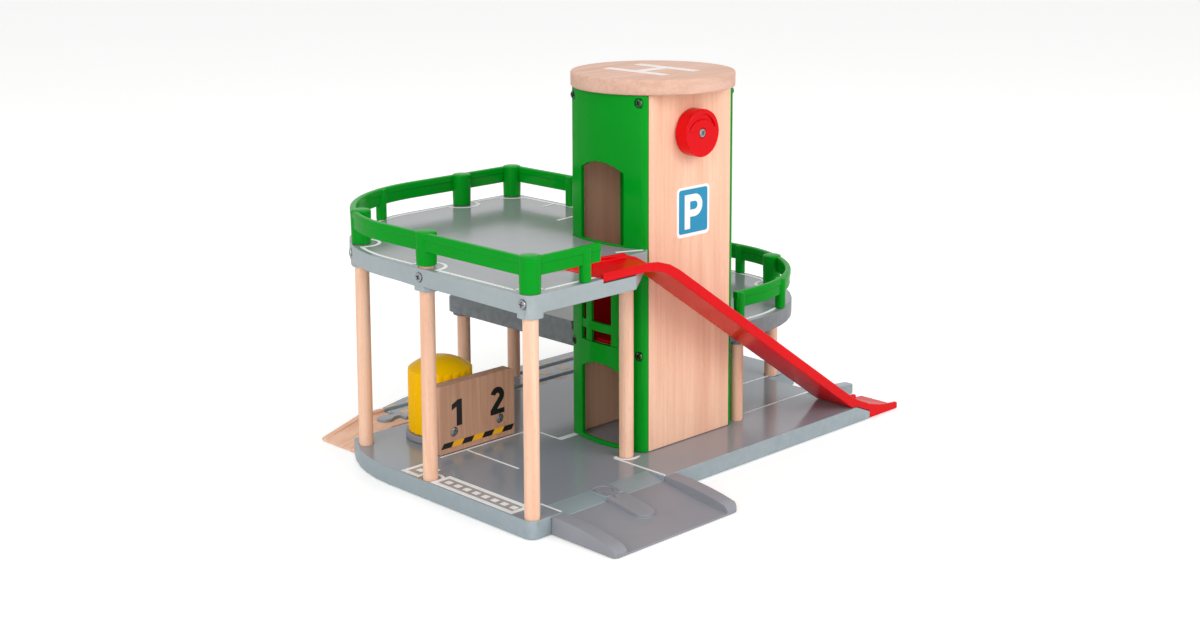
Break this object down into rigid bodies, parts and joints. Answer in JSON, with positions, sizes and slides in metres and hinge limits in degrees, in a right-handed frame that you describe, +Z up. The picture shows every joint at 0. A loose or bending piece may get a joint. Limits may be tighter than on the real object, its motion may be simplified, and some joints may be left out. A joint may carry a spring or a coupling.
{
  "type": "toy parking garage with lift",
  "caption": "Toy parking garage: road base, two railed decks on wooden posts, a tower with a hand-wound lift, a slide, a number wall, a tank and lift-off ramps.",
  "frame": {"origin": "middle of the base plate's rectangle, on its underside, where it rests", "axes": "+X to the right along the front edge, from the entry ramp to the slide foot; +Y from the front to the back; +Z up"},
  "size_m": [0.3886, 0.3171, 0.272],
  "materials": {
    "deck_grey": "glossy printed grey, slightly blue",
    "satin_grey": "satin grey",
    "green_plastic": "glossy green",
    "red_plastic": "glossy red",
    "cab_red": "darker red, satin",
    "yellow_plastic": "warm yellow, soft gloss",
    "beech": "bare sanded beech, fine short flecks",
    "zinc_steel": "zinc-plated screws",
    "white_plastic": "natural white bearing plastic",
    "white_print": "white road and sign print",
    "black_print": "black print",
    "yellow_print": "yellow hazard print",
    "blue_print": "blue sign print"
  },
  "bodies": {
    "garage": {"post_front_left": "beech", "screw_top_post_front_left": "zinc_steel", "post_side_left": "beech", "screw_top_post_side_left": "zinc_steel", "post_sweep_left": "beech", "screw_top_post_sweep_left": "zinc_steel", "post_tower_left": "beech", "post_back_middle": "beech", "screw_top_post_back_middle": "zinc_steel", "screw_mid_post_back_middle": "zinc_steel", "post_back_corner": "beech", "screw_top_post_back_corner": "zinc_steel", "screw_mid_post_back_corner": "zinc_steel", "post_tower_right": "beech", "post_sweep_right": "beech", "screw_mid_post_sweep_right": "zinc_steel", "post_far_right": "beech", "screw_mid_post_far_right": "zinc_steel", "base_plate": "deck_grey", "screw_under_front_wall": "zinc_steel", "screw_under_back_wall": "zinc_steel", "screw_under_pedestal": "zinc_steel", "slide": "red_plastic", "top_deck": "deck_grey", "mid_deck": "deck_grey", "top_railing": "green_plastic", "mid_railing": "green_plastic", "tower_left_shell": "green_plastic", "tower_right_shell": "green_plastic", "screw_left_shell_1": "zinc_steel", "screw_left_shell_2": "zinc_steel", "screw_left_shell_3": "zinc_steel", "screw_left_shell_4": "zinc_steel", "screw_right_shell_1": "zinc_steel", "screw_right_shell_2": "zinc_steel", "screw_right_shell_3": "zinc_steel", "screw_right_shell_4": "zinc_steel", "tower_front_wall": "beech", "tower_back_wall": "beech", "roof_disc": "beech", "guide_rail_front": "beech", "guide_rail_back": "beech", "bush_front": "white_plastic", "bush_back": "white_plastic", "number_wall": "beech", "screw_number_wall_1": "zinc_steel", "screw_number_wall_2": "zinc_steel", "tank_pedestal": "satin_grey", "tank": "yellow_plastic"},
    "lift": {"lift_cab": "cab_red", "cord_eye": "zinc_steel"},
    "winding_gear": {"knob": "red_plastic", "knob_screw": "zinc_steel", "spindle": "zinc_steel", "winding_drum": "white_plastic", "spindle_collar": "zinc_steel"},
    "ramp": {"entry_ramp": "satin_grey"},
    "track": {"wooden_track": "beech"}
  },
  "joints": [
    {"name": "lift_slide", "type": "slide", "parent": "garage", "child": "lift", "axis": [0, 0, 1], "range_m": [-0.0708, 0.0705]},
    {"name": "knob_turn", "type": "hinge", "parent": "garage", "child": "winding_gear", "pos_m": [0.0003, -0.0537, 0.232], "axis": [0, 1, 0], "range_deg": [-508, 506]},
    {"name": "ramp_lift_off", "type": "slide", "parent": "garage", "child": "ramp", "axis": [0, 0, 1], "range_m": [0, 0.03]},
    {"name": "track_lift_off", "type": "slide", "parent": "garage", "child": "track", "axis": [0, 0, 1], "range_m": [0, 0.03]}
  ],
  "couplings": [
    {"joint": "knob_turn", "follows": "lift_slide", "rad_per_m": 125}
  ]
}
